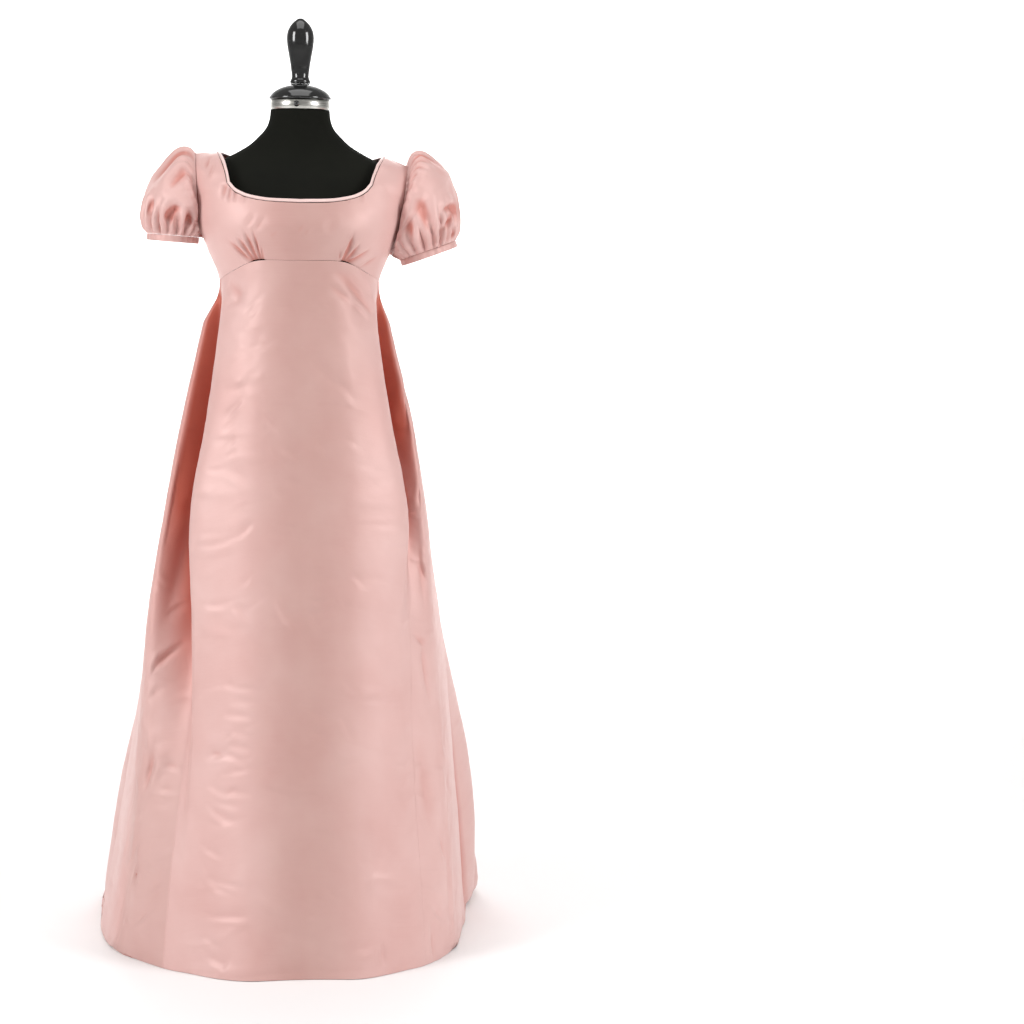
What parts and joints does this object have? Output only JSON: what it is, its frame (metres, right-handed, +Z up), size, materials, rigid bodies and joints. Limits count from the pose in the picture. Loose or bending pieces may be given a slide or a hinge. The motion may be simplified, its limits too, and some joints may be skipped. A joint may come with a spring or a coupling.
{
  "type": "regency gown on a dress form",
  "caption": "High-waisted rose taffeta gown with puff sleeves and a gathered, trained back, on a limbless black dress form.",
  "frame": {"origin": "on the floor, at the centre of the stand's base", "axes": "+Z up along the stand's pole, the gown's front towards -Y and its train towards +Y, the wearer's left at +X"},
  "size_m": [0.6852, 0.9618, 1.561],
  "materials": {
    "rose_taffeta": "crisp silk taffeta, soft broad sheen",
    "rose_trim": "pale bias binding of the same silk",
    "rose_cord": "fine twisted cotton cord",
    "form_cloth": "matte black jersey",
    "form_gloss": "black lacquer",
    "form_metal": "polished steel band",
    "form_steel": "satin black"
  },
  "bodies": {
    "root": {"bodice_front": "rose_taffeta", "bodice_back_left": "rose_taffeta", "bodice_back_right": "rose_taffeta", "skirt_front": "rose_taffeta", "skirt_back_left": "rose_taffeta", "skirt_back_right": "rose_taffeta", "sleeve_left": "rose_taffeta", "sleeve_right": "rose_taffeta", "sleeve_band_left": "rose_taffeta", "sleeve_band_right": "rose_taffeta", "neck_binding": "rose_trim", "drawstring_ends": "rose_cord", "drawstring_loop": "rose_cord", "drawstring_knot": "rose_cord", "form_body": "form_cloth", "form_neck_band": "form_metal", "form_band_knob": "form_gloss", "form_neck_cap": "form_gloss", "form_handle": "form_gloss", "form_pole": "form_steel", "form_base": "form_gloss"}
  },
  "joints": []
}
